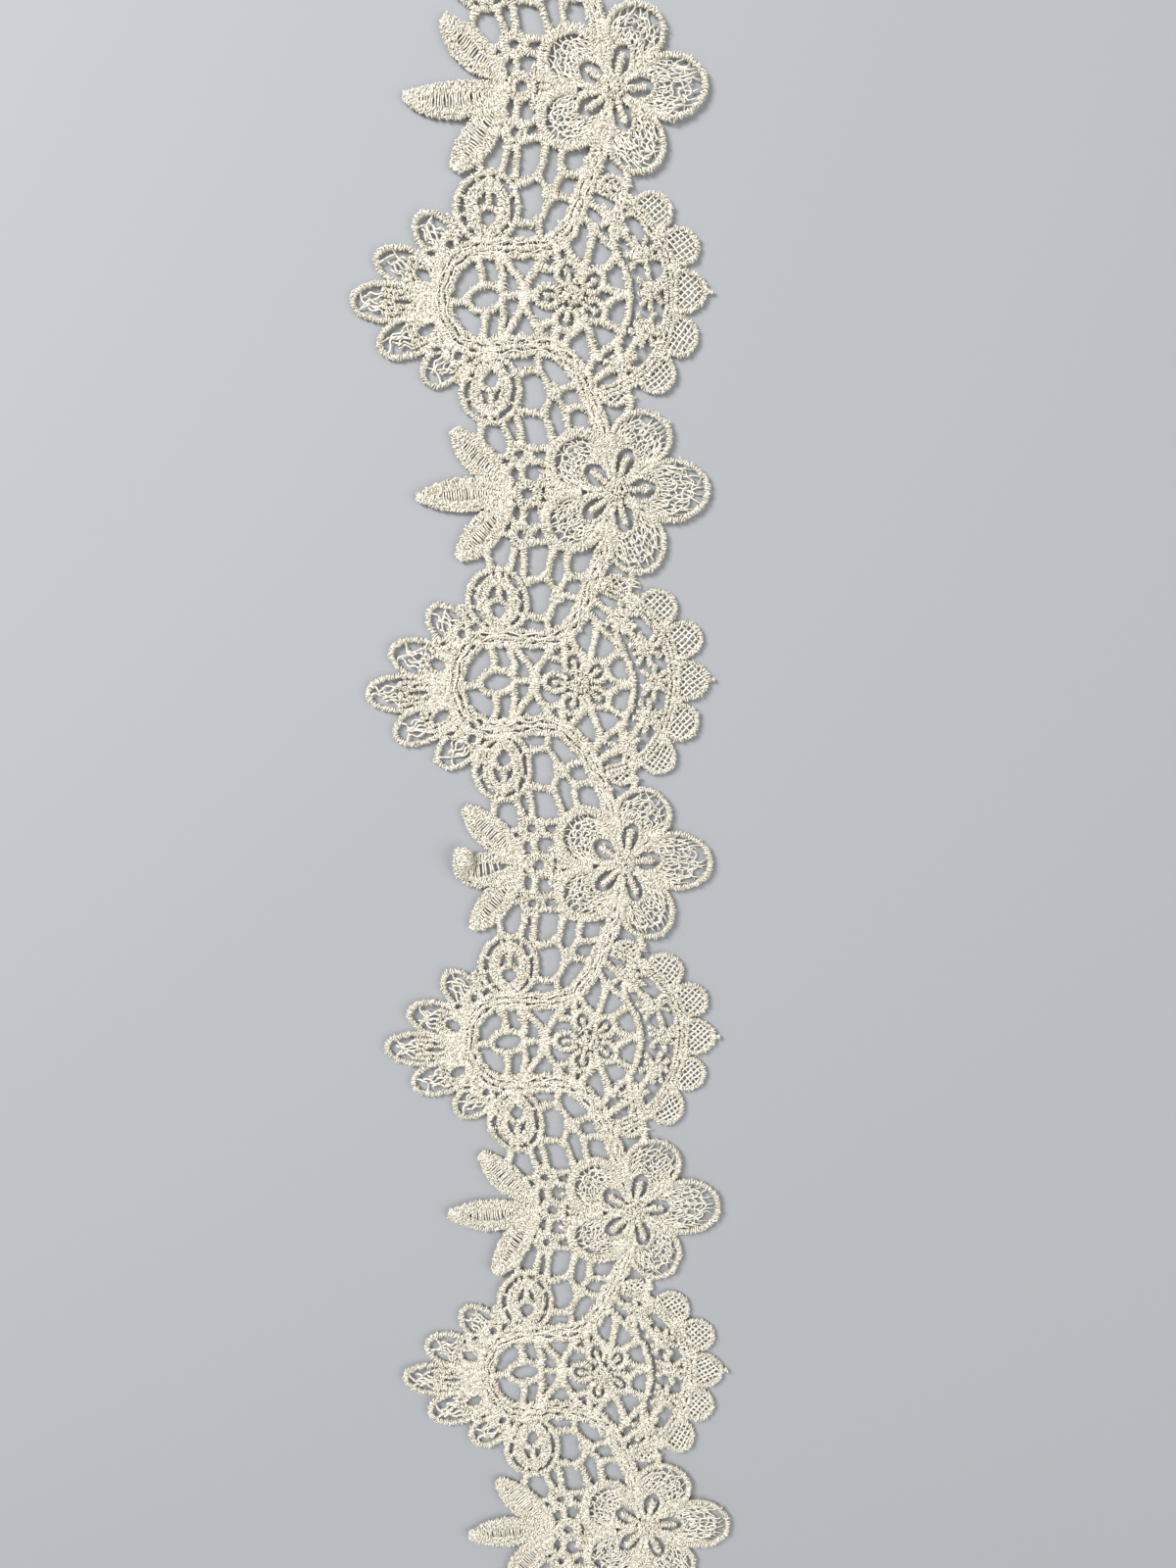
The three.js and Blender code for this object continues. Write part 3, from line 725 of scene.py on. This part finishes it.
def lobe(motif, turn, reach, long, wide, window):
    """The outline of one lobe, its filled foot, and forked threads in its window."""
    middle = polar(FAN, reach, turn)
    motif["cords"].append((oval(middle, long - CORD / 2, wide - CORD / 2, turn, LOBE_OPEN), CORD))
    foot_ends = polar(FAN, LOBE_FOOT, turn), polar(FAN, window - WINDOW, turn)
    dense(motif, np.linspace(*foot_ends, LOBE_FOOT_POINTS), LOBE_FOOT_WIDTH, 2 * wide - 2 * CORD)
    pane = polar(FAN, window, turn)
    hub = pane + rng.normal(0, HUB_STRAY, 2)
    for arm in turn + np.array(PANE_ARMS) + rng.normal(0, ARM_STRAY, len(PANE_ARMS)):
        tip = polar(pane, PANE_REACH, arm)
        bend = (hub + tip) / 2 + rng.normal(0, ARM_BEND, 2)
        motif["threads"].append((through([hub, bend, tip], fine=ARM_FINE), PANE_THREAD))
    along, across = directions(turn)
    for lane in PANE_LANES:
        start = pane - PANE_REACH * along + lane * across
        end = pane + rng.uniform(*LANE_ENDS) * along + lane * across / 2
        thread = swinging(np.array([start, end]), PANE_SWING, PANE_WAVE)
        motif["threads"].append((through(thread, fine=THREAD_FINE), PANE_THREAD))


print("a fan of", len(both_sides(LOBES)), "lobes with", len(both_sides(SLOTS)), "slots")

# %% The fan around its hollow
HOLLOW = (-22.7, 0.0)
HOLLOW_BAND = 8.4
HOLLOW_OPEN = 98
HOLLOW_SPREAD = (1.1, 1.1)
FAN_ROWS = (10.5, 11.5, 12.5)
FAN_OPEN = 62
FAN_SWING = 0.35
# the turns of the dense wedges between the lobes
WEDGES = (170, -170, 146, -146, 118, -118)
FAN_WEDGE_FROM, FAN_WEDGE_TO, FAN_WEDGE_WIDTH, FAN_WEDGE_POINTS = 12.5, 16.6, (2.2, 1.4), 5


def fan_motif(lean):
    """The hollow's band and five lobes, turned by a few degrees as they lie."""
    motif = new_motif()
    for turn, *rest in both_sides(LOBES):
        lobe(motif, turn + lean, *rest)
    for reach in FAN_ROWS:
        row = oval(HOLLOW, reach, reach, 180 + lean, FAN_OPEN)
        motif["cords"].append((swinging(row, FAN_SWING), CORD))
    for turn in WEDGES:
        wedge_ends = polar(FAN, FAN_WEDGE_FROM, turn + lean), polar(FAN, FAN_WEDGE_TO, turn + lean)
        dense(motif, np.linspace(*wedge_ends, FAN_WEDGE_POINTS), *FAN_WEDGE_WIDTH)
    slots = [
        (polar(FAN, reach, turn + lean), long, wide, turn + lean + tilt * np.sign(turn))
        for turn, reach, long, wide, tilt in both_sides(SLOTS)
    ]
    motif["cords"] = [(run, width) for line, width in motif["cords"] for run in clear_of(line, slots)]
    for middle, long, wide, turn in slots:
        motif["cords"].append((oval(middle, long + SLOT_EDGE, wide + SLOT_EDGE, turn), SLOT_CORD))
    ribbon(motif, oval(HOLLOW, HOLLOW_BAND, HOLLOW_BAND, 180, HOLLOW_OPEN), HOLLOW_SPREAD)
    return motif


print("the hollow is", 2 * HOLLOW_BAND, "mm across, from band to band")

# %% [markdown]
# ## Arch
# On the scalloped side a small flower sits in a net of bars. Around it run an inner and an outer arc with
# stars between them, and seven scallops filled with a square net edge the arch.

# %% Small flower and its net
SMALL_FLOWER = (-7.8, 0.0)
SMALL_TURNS = (180, 104, 36, -36, -104)
SMALL_REACH, SMALL_LONG, SMALL_WIDE, SMALL_CORD, SMALL_OPEN = 4.2, 2.1, 1.85, 1.4, 160
SMALL_STAMEN_FROM, SMALL_STAMEN_TO, SMALL_STAMEN_WIDTH = 1.0, 4.4, (1.0, 1.2)
SMALL_KNOT, SMALL_RISE = 2.0, 0.5
ALMOND = (-22.9, 0.0)
ALMOND_SIZE = (3.4, 2.15)
SPINE = (((-30.0, 0.0), (-26.1, 0.0)), ((-19.8, 0.0), (-13.6, 0.0)))
ARCH_BARS = (
    ((-23.2, 1.9), (-23.3, 4.5), (-24.2, 7.2)),
    ((-20.6, 7.8), (-20.0, 5.0), (-19.5, 2.8), (-20.2, 1.1)),
    ((-20.3, 7.6), (-18.2, 4.8), (-16.4, 2.6), (-15.8, 0.0)),
    ((-15.6, 0.0), (-15.5, 2.4), (-14.4, 4.2), (-12.6, 7.4)),
    ((-13.4, 5.2), (-10.2, 4.4)),
    ((-10.8, 9.4), (-10.3, 5.4)),
    ((-9.6, 9.8), (-8.6, 7.6), (-7.4, 6.0), (-6.4, 4.6)),
    ((-6.4, 3.6), (-5.4, 5.6), (-4.0, 9.6), (-3.8, 11.0)),
    ((-3.4, 3.8), (-1.6, 4.7), (0.5, 6.0)),
    ((-3.0, 2.2), (-0.6, 0.5), (2.4, 0.1)),
    ((-4.4, 15.4), (-0.8, 12.2)),
    ((0.0, 7.2), (-0.3, 9.0), (0.3, 11.4)),
    ((1.2, 10.8), (2.6, 8.6), (4.2, 6.8)),
    ((2.3, 21.2), (2.6, 17.6)),
)
ARCH_BAR = (2.4, 1.7, 1.5, 1.7, 2.4)
ARCH_KNOTS = ((-6.2, 12.4, 1.1), (-13.3, 6.6, 0.9))
ARCH_RISE = 0.2
INNER_ARC = ((-5.6, 13.4), (-3.7, 10.9), (-1.7, 8.8), (0.0, 7.2), (1.8, 3.7), (2.55, 0.0))
ARC_CORD = 1.5
ARC_SWING, ARC_WAVE = 0.2, 2.6
ARC_BOBBLES = ((-3.1, 11.0), (-1.7, 8.8))


def small_flower(motif):
    """Five petals of thick cord, each with a stamen, around a knot."""
    for turn in SMALL_TURNS:
        foot = polar(SMALL_FLOWER, SMALL_REACH, turn)
        motif["cords"].append((oval(foot, SMALL_LONG, SMALL_WIDE, turn, SMALL_OPEN), SMALL_CORD))
        tip = polar(SMALL_FLOWER, SMALL_STAMEN_TO, turn)
        stamen = np.array([polar(SMALL_FLOWER, SMALL_STAMEN_FROM, turn), tip])
        motif["cords"].append((stamen, SMALL_STAMEN_WIDTH))
        bobble(motif, tip)
    knot(motif, *SMALL_FLOWER, SMALL_KNOT, SMALL_RISE)


print("a net of", 2 * len(ARCH_BARS), "bars around each small flower")

# %% [markdown]
# A star is a knot with short bars around it. Some bars reach the arcs and others end in a bobble.

# %% Stars and arcs
OUTER_ARC = 17.8
OUTER_ROWS = (-0.5, 0.35, 1.2)
OUTER_OPEN = 74
OUTER_CORD = 1.0
OUTER_SWING = 0.12
STARS = ((0, 14.5), (25.3, 14.4), (55, 14.9))
STAR_KNOT, STAR_RISE = 1.7, 0.35
# the turn and the length of each bar, and whether it ends in a bobble
STAR_BARS = (
    (40, 3.0, False),
    (-40, 3.0, False),
    (95, 2.8, True),
    (-95, 2.8, True),
    (145, 3.0, True),
    (-145, 3.0, True),
    (0, 2.2, True),
    (180, 2.7, False),
)
STAR_FROM, STAR_BAR, STAR_STRAY = 0.6, 1.25, 8


def star(motif, turn, reach):
    """A knot between the arcs, with short bars around it."""
    middle = polar(SMALL_FLOWER, reach, turn)
    for lean, length, ends_round in STAR_BARS:
        bar_turn = turn + lean + rng.normal(0, STAR_STRAY)
        tip = polar(middle, length, bar_turn)
        motif["cords"].append((np.array([polar(middle, STAR_FROM, bar_turn), tip]), STAR_BAR))
        if ends_round:
            bobble(motif, tip)
    knot(motif, *middle, STAR_KNOT, STAR_RISE)


def arch_motif():
    """The small flower in its net of bars, and the two arcs with the stars between them."""
    motif = new_motif()
    motif["cords"] += [(through(bar), ARCH_BAR) for bar in ARCH_BARS]
    for spot in ARC_BOBBLES:
        bobble(motif, spot)
    for x, y, radius in ARCH_KNOTS:
        knot(motif, x, y, radius, ARCH_RISE)
    add_twin(motif)
    motif["cords"] += [(np.array(bar), ARCH_BAR) for bar in SPINE]
    motif["cords"].append((oval(ALMOND, *ALMOND_SIZE), ARC_CORD))
    small_flower(motif)
    arc = through(INNER_ARC)
    arc = np.vstack([arc, arc[-2::-1] * [1, -1]])
    motif["cords"].append((swinging(arc, ARC_SWING, ARC_WAVE), ARC_CORD))
    for row in OUTER_ROWS:
        outer = oval(SMALL_FLOWER, OUTER_ARC + row, OUTER_ARC + row, 0, OUTER_OPEN)
        motif["cords"].append((swinging(outer, OUTER_SWING), OUTER_CORD))
    for row in both_sides(STARS):
        star(motif, *row)
    return motif


print(len(both_sides(STARS)), "stars of", len(STAR_BARS), "bars each")

# %% [markdown]
# A scallop has a round edge of cord, and the two directions of its net cross at a right angle. A knot fills
# the corner between two scallops, and a short picot stands out from the tip of the middle one.

# %% Scallops
# turn, reach and radius of each scallop
SCALLOPS = ((0, 20.5, 4.05), (22, 20.8, 3.75), (43.2, 20.0, 3.8), (66, 18.8, 2.9))
SCALLOP_EDGE = 1.1
SCALLOP_OPEN = 120
NET_INSET = SCALLOP_EDGE * 0.6
NET_TURNS = (45, -45)
NET_LEAN = 8
NET_THREAD = 0.2
NET_STEP = 0.88
NET_FIRST, NET_LAST = 0.5, 0.3
NET_SHIFT = 0.06
NET_STRAY = 0.07
NET_POINTS = 7
NET_FROM_ARC = 0.9
SCALLOP_KNOTS = ((11.2, 19.2), (32.8, 19.2), (54.6, 18.6))
SCALLOP_KNOT, SCALLOP_RISE = 1.3, 0.1
PICOT = ((16.3, 0.0), (16.9, 0.15), (17.5, 0.1))
PICOT_WIDTH = (1.3, 0.8)


def scallop(motif, turn, reach, radius):
    """The round edge of one scallop, and the net in it, as far as the outer arc."""
    middle = polar(SMALL_FLOWER, reach, turn)
    edge = radius - SCALLOP_EDGE / 2
    motif["cords"].append((oval(middle, edge, edge, turn, SCALLOP_OPEN), SCALLOP_EDGE))
    inside = radius - NET_INSET
    for lean in np.array(NET_TURNS) + rng.normal(0, NET_LEAN):
        lanes = np.arange(-inside + NET_FIRST, inside - NET_LAST, NET_STEP)
        for offset in lanes + rng.normal(0, NET_SHIFT):
            half = math.sqrt(inside**2 - offset**2)
            line = np.linspace(polar(middle, half, lean), polar(middle, -half, lean), NET_POINTS)
            line = line + polar((0, 0), offset, lean + 90) + rng.normal(0, NET_STRAY, line.shape)
            line = line[np.linalg.norm(line - SMALL_FLOWER, axis=1) > OUTER_ARC + NET_FROM_ARC]
            if len(line) > 2:
                motif["threads"].append((line, NET_THREAD))


def scallop_motif():
    """All the scallops of one arch, the knots between them, and the picot."""
    motif = new_motif()
    for row in both_sides(SCALLOPS):
        scallop(motif, *row)
    for turn, reach in both_sides(SCALLOP_KNOTS):
        knot(motif, *polar(SMALL_FLOWER, reach, turn), SCALLOP_KNOT, SCALLOP_RISE)
    motif["cords"].append((through(PICOT), PICOT_WIDTH))
    return motif


print(len(both_sides(SCALLOPS)), "scallops to an arch, with a net every", NET_STEP, "mm")

# %% [markdown]
# ## Stitches
# A satin cord is padding with a thread stitched over it, to and fro. Only the stitches on top are made:
# each starts under one edge, passes over the top and ends on the other side, and the padding hides the
# rest. Machine lace is rough, so every stitch has its own slant, reach, height and thickness, and a chance
# bulge to one side.

# %% Satin stitches over the chart's lines
SATIN_PITCH = 0.22
SATIN_THREAD = 0.145
# the places of a stitch's three points around the cord in degrees, from the left edge and from the right
FROM_LEFT = (215.0, 128.0, 52.0)
FROM_RIGHT = (-35.0, 52.0, 128.0)
STITCH_STRAY = (6.0, 12.0, 18.0)
STITCH_HEIGHT, HEIGHT_STRAY = (1.0, 1.05, 0.8), 0.15
STITCH_THICKNESS, THICKNESS_STRAY = (0.9, 1.1, 0.8), 0.2
STITCH_REACH, REACH_STRAY = 1.15, 0.12
STITCH_SLANT = 0.45
STITCH_INSET = SATIN_THREAD * 0.8
CORD_MIDDLE = 0.54
CORD_RISE = 0.44
BULGE = 0.07
WAVER = 0.08
WAVER_STEP = 0.45


def widths_at(where, length, width):
    """The width of a cord at places along it, where the widths given are spread evenly."""
    widths = np.atleast_1d(width)
    return np.interp(where, np.linspace(0, length, len(widths)), widths)


def with_height(line, height):
    """The line as it is if it has heights of its own, and otherwise at those heights."""
    return line if line.shape[1] == 3 else np.c_[line, height]


def wavering(line):
    """The line with points at short steps, each a little off its place."""
    length = lengths_of(line)[-1]
    spots, side = points_on(line, np.linspace(0, length, max(3, int(length / WAVER_STEP) + 1)))
    spots[:, :2] += side * rng.normal(0, WAVER, (len(spots), 1))
    return spots


def satin(line, width):
    """The stitches over a cord, each with the thickness at its points."""
    length = lengths_of(line)[-1]
    count = max(3, int(round(length / SATIN_PITCH)))
    points = len(FROM_LEFT)
    places = np.where(np.arange(count)[:, None] % 2, FROM_LEFT, FROM_RIGHT)
    angle = np.radians(rng.normal(places, STITCH_STRAY))
    slant = rng.normal(0, STITCH_SLANT, (count, 1)) * np.linspace(-0.5, 0.5, points)
    start = (np.arange(count)[:, None] + rng.uniform(0, 1, (count, 1))) * length / count
    where = (start + slant).clip(0, length).ravel()
    spots, side = points_on(line, where)
    loose = rng.normal(1, REACH_STRAY, (count, 1))
    high = STITCH_HEIGHT * rng.normal(1, HEIGHT_STRAY, (count, points))
    thick = STITCH_THICKNESS * rng.normal(1, THICKNESS_STRAY, (count, points))
    half_width = widths_at(where, length, width) / 2 - STITCH_INSET
    bulge = np.repeat(rng.normal(0, BULGE, count), points)
    across = (STITCH_REACH * loose * np.cos(angle)).ravel() * half_width + bulge
    height = CORD_MIDDLE + (CORD_RISE * high * np.sin(angle)).ravel()
    lines = (spots + np.c_[side * across[:, None], height]).reshape(count, points, 3)
    return list(zip(lines, SATIN_THREAD * thick))


print("satin stitches every", SATIN_PITCH, "mm")

# %% [markdown]
# ## Laying the trim
# The chart's motifs are repeated along the trim. Lace never lies quite straight, so the whole length has a
# slight bow, each flower and fan leans a little, and a slow, seeded unevenness pushes every motif a little
# out of shape.

# %% Repeat and lay
BOW = 1.3
HALF_LINE = (FLOWERS - 1) / 2 * REPEAT
PETAL_TIP = 17.0
SHIFT = trim_high.x - PETAL_TIP
FLOWER_LEANS = (0.0, -3.5, 0.0, 0.0, 3.0)
FAN_LEANS = (1.2, 2.3, 2.5, 1.5)
PADDING_INSET = 0.2
PADDING_MOST = 0.6
PADDING_DROP = 0.08
PADDING_SKIP = 3
THREAD_HEIGHT, THREAD_LIMITS = 0.55, (0.3, 0.85)
UNEVEN = 0.16
WAVE_PITCH = 0.16
WAVE_COUNT = 7
WAVES = [
    (rng.normal(0, WAVE_PITCH, 2), rng.uniform(0, FULL_TURN), rng.normal(0, 1, 3))
    for _ in range(WAVE_COUNT)
]
PIECES = (
    "petal_cords",
    "leaf_cords",
    "net_cords",
    "medallion_cords",
    "fan_cords",
    "arch_cords",
    "scallop_cords",
    "fillings",
)
padding = []
stitches = {name: [] for name in PIECES}


def lay(points):
    """Chart points on the table: bowed, a little uneven, and centred as the solid is."""
    push = sum(np.outer(np.sin(points[:, :2] @ pitch + phase), amount) for pitch, phase, amount in WAVES)
    x, y, z = points.T
    x = x - BOW * (1 - (y / HALF_LINE) ** 2) + SHIFT + UNEVEN * push[:, 0]
    return np.c_[x, y + UNEVEN * push[:, 1], z + UNEVEN * np.abs(push[:, 2]) / 2]


def stitch(motif, along, cord_piece):
    """Works one motif at its place along the trim."""
    shift = np.array([0.0, along, 0.0])
    for line, width in motif["cords"]:
        line = wavering(with_height(line, np.zeros(len(line))) + shift)
        stitches[cord_piece] += satin(line, width)
        lengths = lengths_of(line)
        half_width = widths_at(lengths, lengths[-1], width) / 2
        thickness = np.minimum(half_width - PADDING_INSET, PADDING_MOST)
        keep = [*range(0, len(line) - 1, PADDING_SKIP), len(line) - 1]
        padding.append((line[keep] + [0, 0, CORD_MIDDLE - PADDING_DROP], thickness[keep]))
    for line, thickness in motif["threads"]:
        height = rng.normal(THREAD_HEIGHT, THREAD_STRAY, len(line)).clip(*THREAD_LIMITS)
        stitches["fillings"].append((with_height(line, height) + shift, thickness))


for number in range(FLOWERS):
    along = HALF_LINE - number * REPEAT
    stitch(flower_motif(FLOWER_LEANS[number]), along, "petal_cords")
    stitch(leafy_foot(number), along, "leaf_cords")
    stitch(net_motif(), along, "net_cords")
    stitch(medallion_motif(), along, "medallion_cords")
    if number < FLOWERS - 1:
        stitch(fan_motif(FAN_LEANS[number]), along - HALF_REPEAT, "fan_cords")
        stitch(arch_motif(), along - HALF_REPEAT, "arch_cords")
        stitch(scallop_motif(), along - HALF_REPEAT, "scallop_cords")
print({name: len(runs) for name, runs in stitches.items()}, "and", len(padding), "padding runs")

# %% [markdown]
# ## From lines to yarn
# A curve object with a bevel turns a line of points into a tube, and the radius of each point thickens or
# thins it there. All the runs of a piece are splines of one curve, which then becomes a mesh. A stitch is
# so fine that a triangle is round enough for its section, so a small closed curve is its bevel. The padding
# has four sides, and is squeezed flat afterwards, because thread that is stitched tight lies wider than it
# is high.

# %% Sections of the yarn
STITCH_SIDES = 3
PADDING_SIDES = 4
FLATTEN = 0.7
WELD = 1e-7


def round_section(name, sides):
    """A closed curve of that many corners, one millimetre from its middle."""
    curve = bpy.data.curves.new(name, "CURVE")
    spline = curve.splines.new("POLY")
    spline.points.add(sides - 1)
    for point, angle in zip(spline.points, -np.arange(sides) * FULL_TURN / sides):
        point.co = (MM * math.cos(angle), MM * math.sin(angle), 0.0, 1.0)
    spline.use_cyclic_u = True
    section = bpy.data.objects.new(name, curve)
    bpy.context.scene.collection.objects.link(section)
    return section


stitch_section = round_section("stitch_section", STITCH_SIDES)
padding_section = round_section("padding_section", PADDING_SIDES)
print("sections with", STITCH_SIDES, "and", PADDING_SIDES, "sides")


# %% Yarn from curves
def yarn_mesh(name, runs, section, material, flatten=1.0):
    """One mesh of thread along all the runs."""
    curve = bpy.data.curves.new(name, "CURVE")
    curve.dimensions = "3D"
    curve.bevel_mode = "OBJECT"
    curve.bevel_object = section
    curve.use_fill_caps = True
    laid = lay(np.vstack([line for line, _ in runs])) * MM
    laid[:, 2] /= flatten
    laid = np.c_[laid, np.ones(len(laid))].astype(np.float32)
    ends = np.cumsum([len(line) for line, _ in runs])
    for (line, thickness), end in zip(runs, ends):
        spline = curve.splines.new("POLY")
        spline.points.add(len(line) - 1)
        spline.points.foreach_set("co", laid[end - len(line) : end].ravel())
        spline.points.foreach_set("radius", np.broadcast_to(thickness, len(line)).astype(np.float32))
        spline.use_smooth = True
    holder = bpy.data.objects.new(name, curve)
    bpy.context.scene.collection.objects.link(holder)
    ready = holder.evaluated_get(bpy.context.evaluated_depsgraph_get())
    mesh = bpy.data.meshes.new_from_object(ready)
    bpy.data.objects.remove(holder)
    bpy.data.curves.remove(curve)
    mesh.name = name
    mesh.transform(Matrix.Diagonal((1.0, 1.0, flatten, 1.0)))
    shape = bmesh.new()
    shape.from_mesh(mesh)
    bmesh.ops.remove_doubles(shape, verts=shape.verts, dist=WELD)
    shape.to_mesh(mesh)
    shape.free()
    mesh.materials.clear()
    mesh.materials.append(material)
    piece = bpy.data.objects.new(name, mesh)
    bpy.context.scene.collection.objects.link(piece)
    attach(piece, "root")
    triangles = sum(len(face.vertices) - 2 for face in mesh.polygons)
    print(name, len(runs), "runs,", triangles, "triangles")
    return piece


ground = yarn_mesh("lace_ground", padding, padding_section, shaded_padding_yarn, FLATTEN)
pieces = [yarn_mesh(name, runs, stitch_section, stitch_yarn) for name, runs in stitches.items()]
for section in (stitch_section, padding_section):
    bpy.data.curves.remove(section.data)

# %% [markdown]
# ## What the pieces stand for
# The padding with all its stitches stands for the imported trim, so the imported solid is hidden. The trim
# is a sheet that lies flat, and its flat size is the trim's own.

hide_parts("lace_trim")

# %% [markdown]
# ## Table and light
# The trim lies on a plain pale table. A soft light from the upper left gives the cords their shadow, and a
# larger, weaker one from the right keeps the gaps readable.

# %% Floor
FLOOR_SIZE = 3.0
FLOOR_COLOUR = (0.37, 0.38, 0.395, 1.0)
FLOOR_ROUGHNESS = 0.85
floor_mesh = bpy.data.meshes.new("floor")
shape = bmesh.new()
bmesh.ops.create_grid(shape, x_segments=1, y_segments=1, size=FLOOR_SIZE / 2)
shape.to_mesh(floor_mesh)
shape.free()
floor = bpy.data.objects.new("floor", floor_mesh)
bpy.context.scene.collection.objects.link(floor)
floor_material = bpy.data.materials.new("pale_table")
floor_material.use_nodes = True
floor_shader = floor_material.node_tree.nodes["Principled BSDF"]
floor_shader.inputs["Base Color"].default_value = FLOOR_COLOUR
floor_shader.inputs["Roughness"].default_value = FLOOR_ROUGHNESS
floor_mesh.materials.append(floor_material)
print("a table of", FLOOR_SIZE, "m")

# %% Studio lights
# the place of each light, its size and its power
LIGHTS = {
    "key_light": ((-0.6, 0.5, 0.7), 0.4, 12.0),
    "fill_light": ((0.8, -0.3, 0.8), 0.9, 6.3),
}
WORLD_COLOUR = (0.95, 0.97, 1.0, 1.0)
WORLD_STRENGTH = 0.43


def soft_light(name, place, size, power):
    """A square area light that looks at the trim's middle."""
    light = bpy.data.lights.new(name, "AREA")
    light.size = size
    light.energy = power
    lamp = bpy.data.objects.new(name, light)
    spot = Vector(place)
    lamp.matrix_world = Matrix.Translation(spot) @ spot.to_track_quat("Z", "Y").to_matrix().to_4x4()
    bpy.context.scene.collection.objects.link(lamp)


for light_name, light_values in LIGHTS.items():
    soft_light(light_name, *light_values)
world = bpy.data.worlds.new("studio")
world.use_nodes = True
world.node_tree.nodes["Background"].inputs["Color"].default_value = WORLD_COLOUR
world.node_tree.nodes["Background"].inputs["Strength"].default_value = WORLD_STRENGTH
bpy.context.scene.world = world
bpy.context.scene.view_settings.view_transform = "Standard"
print("lights:", *LIGHTS)
